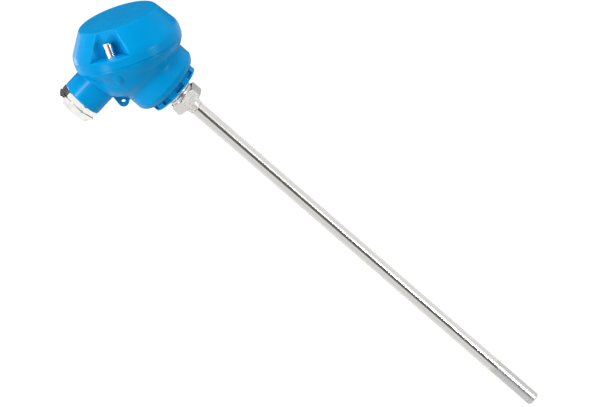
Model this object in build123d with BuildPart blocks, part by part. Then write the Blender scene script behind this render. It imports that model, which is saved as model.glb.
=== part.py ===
from build123d import *
from math import cos, radians, sin
import os

os.makedirs("parts", exist_ok=True)

# Resistance thermometer with a hinged-lid connection head, in millimetres.
# +Z runs up the stem, the cable entry points along -X, and the lid screw faces the front, -Y.
# The origin lies on the stem's axis, where the protection tube leaves the weld shoulder.

# General clearances
touch = 0.05  # radial play of a pressed, screwed or welded fit
running = 0.08  # radial play of a piece that turns in its seat
loose = 0.3  # play between pieces that only stand beside each other
beyond = 120.0  # reach of a cut that leaves through the open side

# Measuring insert and protection tube
insert_diameter = 6.0
insert_wall = 0.6
insert_play = 0.5
tube_wall = 2.0
tube_seat_step = 0.3
tube_reach = 368.0
tip_thickness = 4.0
tip_spigot = 2.0
tip_rounding = 1.6

# Hexagon fitting that carries the tube and screws into the head
shoulder_height = 5.8
shoulder_width = 1.8
shoulder_land = 1.2
shoulder_foot = 0.4
hex_flats = 24.0
hex_height = 9.6
hex_turn = 20.0
hex_chamfer_width = 2.0
hex_chamfer_height = 1.2
fitting_bore = 8.0
thread_diameter = 24.0
thread_engagement = 8.8
thread_run_out = 2.0
thread_undercut = 1.3
neck_gap = 6.8
neck_seal_width = 2.2
neck_seal_height = 2.0

# Collar, neck and bowl of the head's base, turned about the stem
collar_diameter = 44.2
collar_height = 5.2
collar_pockets = 9
pocket_width = 8.0
pocket_depth = 2.2
pocket_height = 3.9
pocket_start = -33.0
neck_diameter = 58.6
neck_shoulder = 6.6
neck_bulge = 1.25
neck_height = 9.5
flare_width = 3.2
flare_height = 8.0
swell_width = 7.5
swell_height = 18.8
casting_wall = 3.6
floor_thickness = 11.8

# Parting plane between base and lid, tilted up towards the cable entry
lid_tilt = 28.5
rim_height = 71.8
rim_shift = -1.0
rim_diameter = 88.4
rim_edge = 1.8
rim_land = 6.2
rim_inner_edge = 3.0
rim_bowl_width = 4.4
rim_bowl_height = 9.0
rim_foot_width = 13.2
rim_foot_height = 18.0

# Lid
lid_overhang = 0.5
lid_band = 9.0
lid_height = 29.2
lid_taper = 12.5
lid_crown = 1.0
lid_band_rounding = 12.0
lid_edge_rounding = 4.0
lid_wall = 3.2
skirt_wall = 2.9
gasket_height = 2.3
gasket_width = 3.4

# Recess for the lid screw, in the lid's front
recess_turn = 21.0
recess_back_play = 5.0
recess_half_width = 7.6
recess_flare = 0.95
recess_floor = 8.3
recess_corner = 5.5
recess_lip = 1.2
recess_floor_lip = 1.5

# Captive lid screw
screw_inset = 8.2
screw_head_diameter = 7.6
screw_head_height = 12.8
screw_head_chamfer = 0.6
screw_shank_diameter = 4.8
screw_engagement = 5.5
screw_slot_width = 1.2
screw_slot_depth = 2.2
screw_eye_diameter = 1.6
screw_eye_turn = -29.0
screw_eye_drop = 5.0
screw_travel = 6.0
screw_ring_thickness = 0.8
screw_ring_drop = 0.5
screw_ring_diameter = 7.4
screw_ring_bite = 0.4
pad_radius = 7.0
screw_boss_radius = 6.5
screw_boss_side = 4.0
screw_boss_depth = 16.0
screw_ledge_depth = 3.0

# Hinge opposite the lid screw
hinge_reach = 4.5
knuckle_diameter = 8.4
knuckle_width = 11.4
ear_width = 4.0
hinge_pin_diameter = 4.0

# Cable entry boss and gland
boss_rise = 0.9
boss_reach = 55.7
boss_diameter = 34.2
boss_chamfer = 1.0
boss_root = 1.5
entry_thread = 25.0
gland_flats = 30.0
gland_turn = -11.0
gland_hex = 4.4
gland_thread_length = 11.0
gland_bore = 16.0
gland_neck_diameter = 22.8
gland_neck = 4.0
gland_gap = 0.6
nut_flats = 31.0
nut_length = 6.2
nut_shoulder = 1.0
nut_taper = 5.0
nut_face = 1.5
nut_hole = 14.0
seal_diameter = 18.8
seal_bore = 10.0
seal_length = 9.6
gland_ring_thickness = 1.0
gland_ring_diameter = 21.6
washer_width = 2.0
washer_height = 1.2

# Seal lug under the cable entry
lug_thickness = 4.0
lug_hole = 3.4
lug_reach = 5.2
lug_height = 46.8
lug_radius = 4.4
lug_top = 60.0

# Insert flange, bush and core
flange_diameter = 42.0
flange_thickness = 2.0
bush_wall = 1.95
bush_height = 4.0
core_play = 0.05
core_wires = 4
core_wire_radius = 1.2
wire_diameter = 0.6
element_diameter = 3.8
element_length = 15.0
sheath_tip = 2.0
plug_height = 1.6

# Terminal block
block_diameter = 38.0
block_height = 15.2
block_hole_play = 0.4
block_chamfer = 0.8
notch_diameter = 8.8
clamp_circle = 24.0
clamp_length = 6.5
clamp_width = 5.4
clamp_height = 6.0
clamp_sink = 3.0
clamp_bore = 1.8
clamp_bore_height = 4.4
wire_bend = 1.8
wire_end = 1.6
terminal_screw_diameter = 2.5
terminal_head_diameter = 4.4
terminal_head_height = 1.6

# Insert screws, springs and earth terminal
insert_screw_pitch = 33.0
insert_screw_diameter = 3.9
insert_screw_depth = 5.0
insert_head_diameter = 7.2
insert_head_height = 2.6
insert_head_rise = 0.7
spring_diameter = 7.0
spring_wire = 0.8
spring_turns = 7
earth_height = 50.0
earth_boss_diameter = 7.4
earth_screw_diameter = 3.2
earth_screw_length = 6.0
earth_head_diameter = 6.0
earth_head_height = 2.0
earth_washer_thickness = 0.9
slot_width = 0.9
slot_depth = 1.0

# Radii that follow from the sizes above
tube_bore = insert_diameter + 2 * insert_play
tube_diameter = tube_bore + 2 * tube_wall
tube_seat_radius = tube_diameter / 2 - tube_seat_step
core_diameter = insert_diameter - 2 * insert_wall
collar_radius = collar_diameter / 2
neck_radius = neck_diameter / 2
bowl_radius = neck_radius + flare_width + swell_width
rim_radius = rim_diameter / 2
rim_bore = rim_radius - rim_land
lid_radius = rim_radius + lid_overhang
lid_top_radius = lid_radius - lid_taper
skirt_radius = lid_radius - skirt_wall
gasket_radius = skirt_radius - 2 * touch
lid_bore = skirt_radius - gasket_width - 2 * touch
screw_offset = rim_radius - screw_inset
recess_back = screw_offset - recess_back_play
hinge_offset = lid_radius + hinge_reach
bush_diameter = insert_diameter + 2 * bush_wall
earth_reach = neck_radius - earth_boss_diameter / 2 - 4 * touch

# Heights that follow from the sizes above
hex_top = shoulder_height + hex_height
collar_bottom = hex_top + neck_gap
collar_top = collar_bottom + collar_height
thread_top = collar_bottom + thread_engagement
neck_bottom = collar_top + neck_shoulder
neck_top = neck_bottom + neck_height
flare_top = neck_top + flare_height
bowl_shoulder = flare_top + swell_height
floor_height = collar_bottom + floor_thickness
boss_height = rim_height + boss_rise
flange_bottom = floor_height + loose
flange_top = flange_bottom + flange_thickness
bush_top = flange_top + bush_height
block_top = flange_top + block_height
clamp_bottom = block_top - clamp_sink
clamp_top = clamp_bottom + clamp_height
wire_level = clamp_bottom + clamp_bore_height
insert_head_bottom = block_top + insert_head_rise
tube_bottom = tip_thickness - tube_reach
sheath_bottom = tube_bottom + tip_spigot + touch
element_bottom = sheath_bottom + sheath_tip + core_play
element_top = element_bottom + element_length
gland_neck_end = boss_reach + gland_hex + gland_neck
nut_start = boss_reach + gland_hex + gland_gap
nut_end = nut_start + nut_length
screw_ring_bottom = -screw_ring_drop - screw_ring_thickness
screw_well = screw_travel - screw_ring_drop + touch

# The lid's frame: x points out through the lid screw and z along the lid's axis
lid_normal = Vector(sin(radians(lid_tilt)), 0, cos(radians(lid_tilt)))
uphill = Vector(-cos(radians(lid_tilt)), 0, sin(radians(lid_tilt)))
screw_side = uphill * sin(radians(recess_turn)) - Vector(0, 1, 0) * cos(radians(recess_turn))
rim_centre = Vector(rim_shift, 0, rim_height)
screw_centre = rim_centre + screw_side * screw_offset
lid_plane = Plane(origin=rim_centre, x_dir=screw_side, z_dir=lid_normal)
lid_section = Plane(origin=rim_centre, x_dir=screw_side, z_dir=screw_side.cross(lid_normal))
screw_plane = Plane(origin=screw_centre, x_dir=screw_side, z_dir=lid_normal)
screw_section = Plane(origin=screw_centre, x_dir=screw_side, z_dir=screw_side.cross(lid_normal))
lid_axis = Axis(rim_centre, lid_normal)
screw_axis = Axis(screw_centre, lid_normal)

# The gland's frames: a plane across its axis and a section through it, both starting on the stem
gland_plane = Plane(origin=(0, 0, boss_height), x_dir=(0, -1, 0), z_dir=(-1, 0, 0))
gland_section = Plane(origin=(0, 0, boss_height), x_dir=(-1, 0, 0), z_dir=(0, 1, 0))
gland_axis = Axis((0, 0, boss_height), (-1, 0, 0))


def bowl_outline(inset, foot):
    """Half section of the bowl above the point foot, drawn inwards by inset."""
    wall = Line(foot, (neck_radius - inset, neck_top))
    flare = TangentArc(wall @ 1, (wall @ 1) + Vector(flare_width, flare_height), tangent=(0, 1))
    swell = TangentArc(flare @ 1, (flare @ 1) + Vector(swell_width, swell_height), tangent=flare % 1)
    crest = bowl_shoulder + beyond / 3
    Polyline(swell @ 1, (bowl_radius - inset, crest), (0, crest), (0, foot[1]))


def pad_outline(radius, mode):
    """Plan of the lid screw's pad: a round end that runs out through the rim."""
    with Locations((screw_offset, 0)):
        Circle(radius, mode=mode)
    with Locations((screw_offset + beyond / 2, 0)):
        Rectangle(beyond, 2 * radius, mode=mode)


def recess_outline():
    """Plan of the screw recess: a flat back and two flared sides that run out through the wall."""
    far = recess_back + beyond
    far_width = recess_half_width + recess_flare * beyond
    Polygon(
        (recess_back, -recess_half_width),
        (far, -far_width),
        (far, far_width),
        (recess_back, recess_half_width),
    )


def on_floor_lip(edge):
    """Whether the edge is where the recess's floor runs out through the lid's wall."""
    middle = lid_plane.to_local_coords(edge @ 0.5)
    at_floor = abs(middle.Z - recess_floor) < loose
    return edge.geom_type == GeomType.CIRCLE and at_floor and middle.X > lid_top_radius


def on_recess_lip(edge):
    """Whether the edge is one of the curves where the recess's walls come out of the lid."""
    middle = lid_plane.to_local_coords(edge @ 0.5)
    above_floor = middle.Z > recess_floor + loose
    curved = edge.geom_type in (GeomType.BSPLINE, GeomType.HYPERBOLA)
    return curved and above_floor and middle.X > 0


def screw_boss_outline():
    """Half section of the post under the lid screw, which tapers to a point in the bowl's wall."""
    side = Line((screw_boss_radius, 0), (screw_boss_radius, -screw_boss_side))
    foot = TangentArc(side @ 1, (0, -screw_boss_depth), tangent=(0, -1))
    Polyline(foot @ 1, (0, 0), side @ 0)


# Protection tube: seamless stainless tube with its upper end turned down to seat in the fitting
with BuildPart() as protection_tube:
    with BuildSketch(Plane.XY.offset(tube_bottom)):
        Circle(tube_diameter / 2)
    extrude(amount=-tube_bottom)
    with BuildSketch():
        Circle(tube_seat_radius)
    extrude(amount=hex_top)
    with BuildSketch(Plane.XY.offset(tube_bottom)):
        Circle(tube_bore / 2)
    extrude(amount=hex_top - tube_bottom, mode=Mode.SUBTRACT)
protection_tube.part.label = "protection_tube"
export_step(protection_tube.part, "parts/protection_tube.step")

# Tip: turned plug with a spigot, welded into the tube's lower end
with BuildPart() as tube_tip:
    with BuildSketch(Plane.XY.offset(-tube_reach)):
        Circle(tube_diameter / 2)
    extrude(amount=tip_thickness)
    fillet(tube_tip.edges().filter_by(GeomType.CIRCLE).sort_by(Axis.Z)[0], tip_rounding)
    with BuildSketch(Plane.XY.offset(tube_bottom)):
        Circle(tube_bore / 2 - touch)
    extrude(amount=tip_spigot)
tube_tip.part.label = "tube_tip"
export_step(tube_tip.part, "parts/tube_tip.step")

# Hexagon fitting: bar stock with a weld shoulder below and the head's thread above
with BuildPart() as hex_fitting:
    with BuildSketch(Plane.XY.offset(shoulder_height)):
        RegularPolygon(hex_flats / 2, 6, major_radius=False, rotation=hex_turn)
    extrude(amount=hex_height)
    with BuildSketch(Plane.XZ):
        corner = hex_flats / 2 / cos(radians(30)) + touch
        Polygon(
            (0, shoulder_height),
            (corner - hex_chamfer_width / 2, shoulder_height),
            (corner, shoulder_height + hex_chamfer_height / 2),
            (corner, hex_top - hex_chamfer_height),
            (corner - hex_chamfer_width, hex_top),
            (0, hex_top),
        )
    revolve(axis=Axis.Z, mode=Mode.INTERSECT)
    with BuildSketch(Plane.XZ):
        Polygon(
            (0, 0),
            (tube_diameter / 2 + shoulder_foot, 0),
            (tube_diameter / 2 + shoulder_width, shoulder_height - shoulder_land),
            (tube_diameter / 2 + shoulder_width, shoulder_height),
            (0, shoulder_height),
        )
        Polygon(
            (0, hex_top),
            (thread_diameter / 2 - thread_undercut, hex_top),
            (thread_diameter / 2 - thread_undercut, hex_top + thread_run_out),
            (thread_diameter / 2, hex_top + thread_run_out + thread_undercut),
            (thread_diameter / 2, thread_top - thread_undercut),
            (thread_diameter / 2 - thread_undercut, thread_top),
            (0, thread_top),
        )
    revolve(axis=Axis.Z)
    with BuildSketch():
        Circle(tube_seat_radius + touch)
    extrude(amount=hex_top, mode=Mode.SUBTRACT)
    with BuildSketch():
        Circle(fitting_bore / 2)
    extrude(amount=beyond, mode=Mode.SUBTRACT)
hex_fitting.part.label = "hex_fitting"
export_step(hex_fitting.part, "parts/hex_fitting.step")

# Neck seal: flat ring in the collar's mouth, around the thread
with BuildPart() as neck_seal:
    with BuildSketch(Plane.XY.offset(collar_bottom)):
        Circle(thread_diameter / 2 + neck_seal_width)
        Circle(thread_diameter / 2 + touch, mode=Mode.SUBTRACT)
    extrude(amount=neck_seal_height)
neck_seal.part.label = "neck_seal"
export_step(neck_seal.part, "parts/neck_seal.step")

# Hollow of the base: round the stem below and round the lid's axis above, leaving the screw's ledge
with BuildPart() as base_hollow:
    with BuildSketch(Plane.XZ):
        with BuildLine():
            bowl_outline(casting_wall, (neck_radius - casting_wall, floor_height))
            Line((0, floor_height), (neck_radius - casting_wall, floor_height))
        make_face()
    revolve(axis=Axis.Z)
    with BuildSketch(lid_section):
        Polygon(
            (0, loose),
            (0, rim_bowl_width - rim_foot_height),
            (rim_bore - rim_bowl_height, rim_bowl_width - rim_foot_height),
            (rim_bore - rim_inner_edge, -rim_bowl_height),
            (rim_bore, -rim_inner_edge),
            (rim_bore, loose),
        )
    revolve(axis=lid_axis)
    with BuildSketch(screw_section):
        ledge = pad_radius + gasket_width + loose
        Polygon((0, loose), (ledge, loose), (ledge, -screw_ledge_depth), (0, -screw_ledge_depth - ledge))
        with BuildLine():
            screw_boss_outline()
        make_face()
    revolve(axis=screw_axis, mode=Mode.SUBTRACT)

# Head base: die-cast shell with the collar, the cable boss, the hinge ears and the seal lug
with BuildPart() as head_base:
    with BuildSketch(Plane.XZ):
        with BuildLine():
            Polyline((0, collar_bottom), (collar_radius, collar_bottom), (collar_radius, collar_top))
            SagittaArc((collar_radius, collar_top), (neck_radius, neck_bottom), -neck_bulge)
            bowl_outline(0, (neck_radius, neck_bottom))
            Line((0, neck_bottom), (0, collar_bottom))
        make_face()
    revolve(axis=Axis.Z)
    with BuildSketch(gland_plane.offset(bowl_radius / 2)):
        Circle(boss_diameter / 2)
    extrude(amount=boss_reach - bowl_radius / 2)
    fillet(head_base.edges(Select.LAST).filter_by(GeomType.BSPLINE), boss_root)
    chamfer(head_base.edges().filter_by(GeomType.CIRCLE).sort_by(Axis.X)[0], boss_chamfer)
    with BuildSketch(lid_section):
        with BuildLine():
            foot = (rim_radius - rim_foot_width, -rim_foot_height)
            middle = (rim_radius - rim_bowl_width, -rim_bowl_height)
            edge = ThreePointArc(foot, middle, (rim_radius, -rim_edge))
            Polyline(edge @ 1, (rim_radius, loose), (0, loose), (0, -rim_foot_height), foot)
        make_face()
    revolve(axis=lid_axis)
    with BuildSketch(screw_section):
        with BuildLine():
            screw_boss_outline()
        make_face()
    revolve(axis=screw_axis)
    with BuildSketch(Plane.XZ):
        with Locations((-neck_radius - lug_reach, lug_height)):
            Circle(lug_radius)
        Polygon(
            (-neck_radius, lug_height - lug_radius / 2),
            (-neck_radius - lug_reach - lug_radius / 2, lug_top),
            (-neck_radius, lug_top),
        )
        make_hull()
    extrude(amount=lug_thickness / 2, both=True)
    split(bisect_by=lid_plane, keep=Keep.BOTTOM)
    ear_start = knuckle_width / 2 + loose
    with BuildSketch(lid_section.offset(ear_start), lid_section.offset(-ear_start - ear_width)):
        with Locations((-hinge_offset, 0)):
            Circle(knuckle_diameter / 2)
        Polygon(
            (-hinge_offset, -knuckle_diameter / 2),
            (-rim_bore, -knuckle_diameter / 2 - rim_bowl_height),
            (-rim_bore, -2 * loose),
            (knuckle_diameter / 2 - hinge_offset - touch, -2 * loose),
        )
    extrude(amount=ear_width)
    add(base_hollow.part, mode=Mode.SUBTRACT)
    with BuildSketch(Plane.XY.offset(collar_top - pocket_height)):
        with PolarLocations(collar_radius, collar_pockets, start_angle=pocket_start):
            Rectangle(2 * pocket_depth, pocket_width)
    extrude(amount=pocket_height, mode=Mode.SUBTRACT)
    with BuildSketch(Plane.XY.offset(collar_bottom)):
        Circle(thread_diameter / 2 + touch)
    extrude(amount=floor_thickness, mode=Mode.SUBTRACT)
    with BuildSketch(Plane.XY.offset(collar_bottom)):
        Circle(thread_diameter / 2 + neck_seal_width + touch)
    extrude(amount=neck_seal_height, mode=Mode.SUBTRACT)
    with BuildSketch(gland_plane.offset(boss_reach)):
        Circle(entry_thread / 2 + touch)
    extrude(amount=bowl_radius / 2 - boss_reach, mode=Mode.SUBTRACT)
    with BuildSketch(gland_plane.offset(boss_reach)):
        Circle(entry_thread / 2 + washer_width + 2 * touch)
    extrude(amount=-washer_height, mode=Mode.SUBTRACT)
    with BuildSketch(Plane.XZ):
        with Locations((-neck_radius - lug_reach, lug_height)):
            Circle(lug_hole / 2)
    extrude(amount=lug_thickness, both=True, mode=Mode.SUBTRACT)
    with BuildSketch(lid_section):
        with Locations((-hinge_offset, 0)):
            Circle(hinge_pin_diameter / 2 + touch)
    extrude(amount=beyond, both=True, mode=Mode.SUBTRACT)
    with BuildSketch(screw_plane):
        Circle(screw_shank_diameter / 2 + loose)
    extrude(amount=-screw_engagement - 2 * loose, mode=Mode.SUBTRACT)
    with BuildSketch(screw_plane):
        Circle(screw_ring_diameter / 2 + 2 * loose)
    extrude(amount=screw_ring_bottom - loose, mode=Mode.SUBTRACT)
    with BuildSketch(Plane.XY.offset(floor_height)):
        with GridLocations(insert_screw_pitch, 0, 2, 1):
            Circle(insert_screw_diameter / 2 + touch)
    extrude(amount=-insert_screw_depth - loose, mode=Mode.SUBTRACT)
    with BuildSketch(Plane.XY.offset(floor_height)):
        with Locations((0, earth_reach)):
            Circle(earth_boss_diameter / 2)
    extrude(amount=earth_height - floor_height)
    with BuildSketch(Plane.XY.offset(earth_height)):
        with Locations((0, earth_reach)):
            Circle(earth_boss_diameter / 2 + loose)
    extrude(amount=earth_boss_diameter, mode=Mode.SUBTRACT)
    with BuildSketch(Plane.XY.offset(earth_height)):
        with Locations((0, earth_reach)):
            Circle(earth_screw_diameter / 2 + touch)
    extrude(amount=-earth_screw_length - loose, mode=Mode.SUBTRACT)
head_base.part.label = "head_base"
export_step(head_base.part, "parts/head_base.step")

# Hollow of the lid: round inside the wall, less the screw's pad and the walls of its recess
with BuildPart() as lid_hollow:
    with BuildSketch(lid_section):
        slope = Vector(-lid_taper, lid_height - lid_band).normalized()
        inner_foot = Vector(lid_radius - lid_wall * slope.Y, lid_band + lid_wall * slope.X)
        ceiling = lid_height - lid_wall
        Polygon(
            (0, 0),
            (lid_bore, 0),
            (lid_bore, inner_foot.Y + (lid_bore - inner_foot.X) * slope.Y / slope.X),
            (inner_foot.X + (ceiling - inner_foot.Y) * slope.X / slope.Y, ceiling),
            (0, ceiling),
        )
    revolve(axis=lid_axis)
    with BuildSketch(lid_plane):
        pad_outline(pad_radius + gasket_width + 2 * touch, Mode.ADD)
    extrude(amount=recess_floor - lid_wall, mode=Mode.SUBTRACT)
    with BuildSketch(lid_plane.offset(recess_floor - lid_wall)):
        recess_outline()
        offset(amount=lid_wall)
    extrude(amount=beyond, mode=Mode.SUBTRACT)

# Lid: die-cast cap with a sloping wall, the screw recess and the hinge knuckle
with BuildPart() as head_lid:
    with BuildSketch(lid_section) as lid_half:
        with BuildLine():
            wall = Line((lid_radius, loose), (lid_radius, lid_band))
            crown = TangentArc((0, lid_height + lid_crown), (lid_top_radius, lid_height), tangent=(1, 0))
            Polyline(wall @ 1, crown @ 1)
            Polyline(crown @ 0, (0, loose), wall @ 0)
        make_face()
        fillet(lid_half.vertices().sort_by_distance((lid_radius, lid_band))[0], lid_band_rounding)
        fillet(lid_half.vertices().sort_by_distance((lid_top_radius, lid_height))[0], lid_edge_rounding)
    revolve(axis=lid_axis)
    with BuildSketch(lid_section):
        with Locations((-hinge_offset, 0)):
            Circle(knuckle_diameter / 2)
        Polygon(
            (-hinge_offset, knuckle_diameter / 2),
            (knuckle_diameter / 2 - hinge_offset - touch, 2 * loose),
            (-lid_bore, 2 * loose),
            (-lid_bore, knuckle_diameter / 2 + hinge_reach),
        )
    extrude(amount=knuckle_width / 2, both=True)
    with BuildSketch(lid_plane.offset(recess_floor)) as recess:
        recess_outline()
        fillet(recess.vertices().group_by(Axis.X)[0], recess_corner)
    extrude(amount=beyond, mode=Mode.SUBTRACT)
    floor_edges = head_lid.edges(Select.LAST).filter_by(on_floor_lip)
    fillet(floor_edges, recess_floor_lip)
    fillet(head_lid.edges().filter_by(on_recess_lip), recess_lip)
    with BuildSketch(lid_plane):
        Circle(skirt_radius)
        pad_outline(pad_radius, Mode.SUBTRACT)
    extrude(amount=gasket_height, mode=Mode.SUBTRACT)
    add(lid_hollow.part, mode=Mode.SUBTRACT)
    with BuildSketch(lid_section):
        with Locations((-hinge_offset, 0)):
            Circle(hinge_pin_diameter / 2 + running)
    extrude(amount=knuckle_width, both=True, mode=Mode.SUBTRACT)
    with BuildSketch(screw_plane):
        Circle(screw_shank_diameter / 2 + loose)
    extrude(amount=recess_floor, mode=Mode.SUBTRACT)
    with BuildSketch(screw_plane):
        Circle(screw_ring_diameter / 2 + 3 * loose)
    extrude(amount=screw_well, mode=Mode.SUBTRACT)
head_lid.part.label = "head_lid"
export_step(head_lid.part, "parts/head_lid.step")

# Gasket: moulded ring in the lid's skirt that passes inside the lid screw
with BuildPart() as lid_gasket:
    with BuildSketch(lid_plane):
        Circle(gasket_radius)
        pad_outline(pad_radius + touch, Mode.SUBTRACT)
    extrude(amount=gasket_height)
    with BuildSketch(lid_plane):
        Circle(lid_bore)
        pad_outline(pad_radius + gasket_width, Mode.SUBTRACT)
    extrude(amount=gasket_height, mode=Mode.SUBTRACT)
lid_gasket.part.label = "lid_gasket"
export_step(lid_gasket.part, "parts/lid_gasket.step")

# Hinge pin: plain steel pin pressed into the base's two ears
with BuildPart() as hinge_pin:
    with BuildSketch(lid_section):
        with Locations((-hinge_offset, 0)):
            Circle(hinge_pin_diameter / 2)
    extrude(amount=knuckle_width / 2 + loose + ear_width, both=True)
hinge_pin.part.label = "hinge_pin"
export_step(hinge_pin.part, "parts/hinge_pin.step")

# Lid screw: tall slotted head with a hole for a seal wire, and a groove for its retaining ring
with BuildPart() as lid_screw:
    with BuildSketch(screw_section):
        head_top = recess_floor + screw_head_height
        head = screw_head_diameter / 2
        shank = screw_shank_diameter / 2
        groove = shank - screw_ring_bite
        Polygon(
            (0, -screw_engagement),
            (groove, -screw_engagement),
            (shank, screw_ring_bite - screw_engagement),
            (shank, screw_ring_bottom - touch),
            (groove, screw_ring_bottom - touch),
            (groove, touch - screw_ring_drop),
            (shank, touch - screw_ring_drop),
            (shank, recess_floor),
            (head, recess_floor),
            (head, head_top - screw_head_chamfer),
            (head - screw_head_chamfer, head_top),
            (0, head_top),
        )
    revolve(axis=screw_axis)
    with BuildSketch(screw_plane.offset(head_top)):
        Rectangle(screw_slot_width, screw_head_diameter + 2 * loose, rotation=screw_eye_turn)
    extrude(amount=-screw_slot_depth, mode=Mode.SUBTRACT)
    eye_side = screw_side.rotate(Axis((0, 0, 0), lid_normal), screw_eye_turn)
    eye_centre = screw_centre + lid_normal * (head_top - screw_eye_drop)
    with BuildSketch(Plane(origin=eye_centre, x_dir=lid_normal, z_dir=eye_side)):
        Circle(screw_eye_diameter / 2)
    extrude(amount=screw_head_diameter, both=True, mode=Mode.SUBTRACT)
lid_screw.part.label = "lid_screw"
export_step(lid_screw.part, "parts/lid_screw.step")

# Retaining ring: spring clip in the screw's groove that keeps the screw with the lid
with BuildPart() as lid_screw_ring:
    with BuildSketch(screw_plane.offset(screw_ring_bottom)):
        Circle(screw_ring_diameter / 2)
        Circle(groove + touch, mode=Mode.SUBTRACT)
        with Locations((-screw_ring_diameter / 2, 0)):
            Rectangle(screw_ring_diameter, 2 * groove - screw_ring_bite, mode=Mode.SUBTRACT)
    extrude(amount=screw_ring_thickness)
lid_screw_ring.part.label = "lid_screw_ring"
export_step(lid_screw_ring.part, "parts/lid_screw_ring.step")

# Gland body: nickel-plated hexagon with the entry thread inwards and the nut's thread outwards
with BuildPart() as gland_body:
    with BuildSketch(gland_plane.offset(boss_reach)):
        RegularPolygon(gland_flats / 2, 6, major_radius=False, rotation=gland_turn)
    extrude(amount=gland_hex)
    with BuildSketch(gland_section):
        body_corner = gland_flats / 2 / cos(radians(30)) + touch
        Polygon(
            (boss_reach, 0),
            (boss_reach, body_corner - hex_chamfer_width / 2),
            (boss_reach + hex_chamfer_height / 2, body_corner),
            (boss_reach + gland_hex - hex_chamfer_height / 2, body_corner),
            (boss_reach + gland_hex, body_corner - hex_chamfer_width / 2),
            (boss_reach + gland_hex, 0),
        )
    revolve(axis=gland_axis, mode=Mode.INTERSECT)
    with BuildSketch(gland_plane.offset(boss_reach)):
        Circle(entry_thread / 2)
    extrude(amount=-gland_thread_length)
    chamfer(gland_body.edges().filter_by(GeomType.CIRCLE).sort_by(Axis.X)[-1], thread_undercut)
    with BuildSketch(gland_plane.offset(boss_reach + gland_hex)):
        Circle(gland_neck_diameter / 2)
    extrude(amount=gland_neck)
    with BuildSketch(gland_plane.offset(gland_neck_end)):
        Circle(seal_diameter / 2 + touch)
    extrude(amount=-seal_length, mode=Mode.SUBTRACT)
    with BuildSketch(gland_plane.offset(boss_reach)):
        Circle(gland_bore / 2)
    extrude(amount=beyond, both=True, mode=Mode.SUBTRACT)
gland_body.part.label = "gland_body"
export_step(gland_body.part, "parts/gland_body.step")

# Sealing ring in the boss's end face, under the gland's hexagon
with BuildPart() as gland_washer:
    with BuildSketch(gland_plane.offset(boss_reach)):
        Circle(entry_thread / 2 + washer_width)
        Circle(entry_thread / 2 + touch, mode=Mode.SUBTRACT)
    extrude(amount=-washer_height)
gland_washer.part.label = "gland_washer"
export_step(gland_washer.part, "parts/gland_washer.step")

# Cable seal: rubber bush that the nut squeezes onto the cable
with BuildPart() as gland_seal:
    with BuildSketch(gland_plane.offset(gland_neck_end)):
        Circle(seal_diameter / 2)
        Circle(seal_bore / 2, mode=Mode.SUBTRACT)
    extrude(amount=-seal_length)
gland_seal.part.label = "gland_seal"
export_step(gland_seal.part, "parts/gland_seal.step")

# Pressure ring between the seal and the nut
with BuildPart() as gland_ring:
    with BuildSketch(gland_plane.offset(gland_neck_end)):
        Circle(gland_ring_diameter / 2)
        Circle(nut_hole / 2, mode=Mode.SUBTRACT)
    extrude(amount=gland_ring_thickness)
gland_ring.part.label = "gland_ring"
export_step(gland_ring.part, "parts/gland_ring.step")

# Gland nut: hexagon with a long turned cone towards the cable
with BuildPart() as gland_nut:
    with BuildSketch(gland_plane.offset(nut_start)):
        RegularPolygon(nut_flats / 2, 6, major_radius=False, rotation=gland_turn)
    extrude(amount=nut_length)
    with BuildSketch(gland_section):
        nut_corner = nut_flats / 2 / cos(radians(30)) + touch
        Polygon(
            (nut_start, 0),
            (nut_start, nut_corner - hex_chamfer_width / 2),
            (nut_start + hex_chamfer_height / 2, nut_corner),
            (nut_start + nut_shoulder, nut_corner),
            (nut_end, nut_corner - nut_taper),
            (nut_end, 0),
        )
    revolve(axis=gland_axis, mode=Mode.INTERSECT)
    with BuildSketch(gland_plane.offset(nut_start)):
        Circle(gland_neck_diameter / 2 + running)
    extrude(amount=nut_length - nut_face, mode=Mode.SUBTRACT)
    with BuildSketch(gland_plane.offset(nut_start)):
        Circle(nut_hole / 2)
    extrude(amount=nut_length, mode=Mode.SUBTRACT)
gland_nut.part.label = "gland_nut"
export_step(gland_nut.part, "parts/gland_nut.step")

# Insert flange: round plate that carries the measuring insert on two sprung screws
with BuildPart() as insert_flange:
    with BuildSketch(Plane.XY.offset(flange_bottom)):
        Circle(flange_diameter / 2)
        Circle(insert_diameter / 2 + touch, mode=Mode.SUBTRACT)
        with GridLocations(insert_screw_pitch, 0, 2, 1):
            Circle(insert_screw_diameter / 2 + loose, mode=Mode.SUBTRACT)
    extrude(amount=flange_thickness)
insert_flange.part.label = "insert_flange"
export_step(insert_flange.part, "parts/insert_flange.step")

# Insert bush: turned collar that holds the sheath on the flange
with BuildPart() as insert_bush:
    with BuildSketch(Plane.XY.offset(flange_top)):
        Circle(bush_diameter / 2)
        Circle(insert_diameter / 2 + touch, mode=Mode.SUBTRACT)
    extrude(amount=bush_height)
insert_bush.part.label = "insert_bush"
export_step(insert_bush.part, "parts/insert_bush.step")

# Insert sheath: thin stainless tube, closed at its lower end
with BuildPart() as insert_sheath:
    with BuildSketch(Plane.XY.offset(sheath_bottom)):
        Circle(insert_diameter / 2)
    extrude(amount=bush_top - sheath_bottom)
    fillet(insert_sheath.edges().filter_by(GeomType.CIRCLE).sort_by(Axis.Z)[0], sheath_tip / 2)
    with BuildSketch(Plane.XY.offset(sheath_bottom + sheath_tip)):
        Circle(core_diameter / 2)
    extrude(amount=bush_top - sheath_bottom, mode=Mode.SUBTRACT)
insert_sheath.part.label = "insert_sheath"
export_step(insert_sheath.part, "parts/insert_sheath.step")

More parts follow.
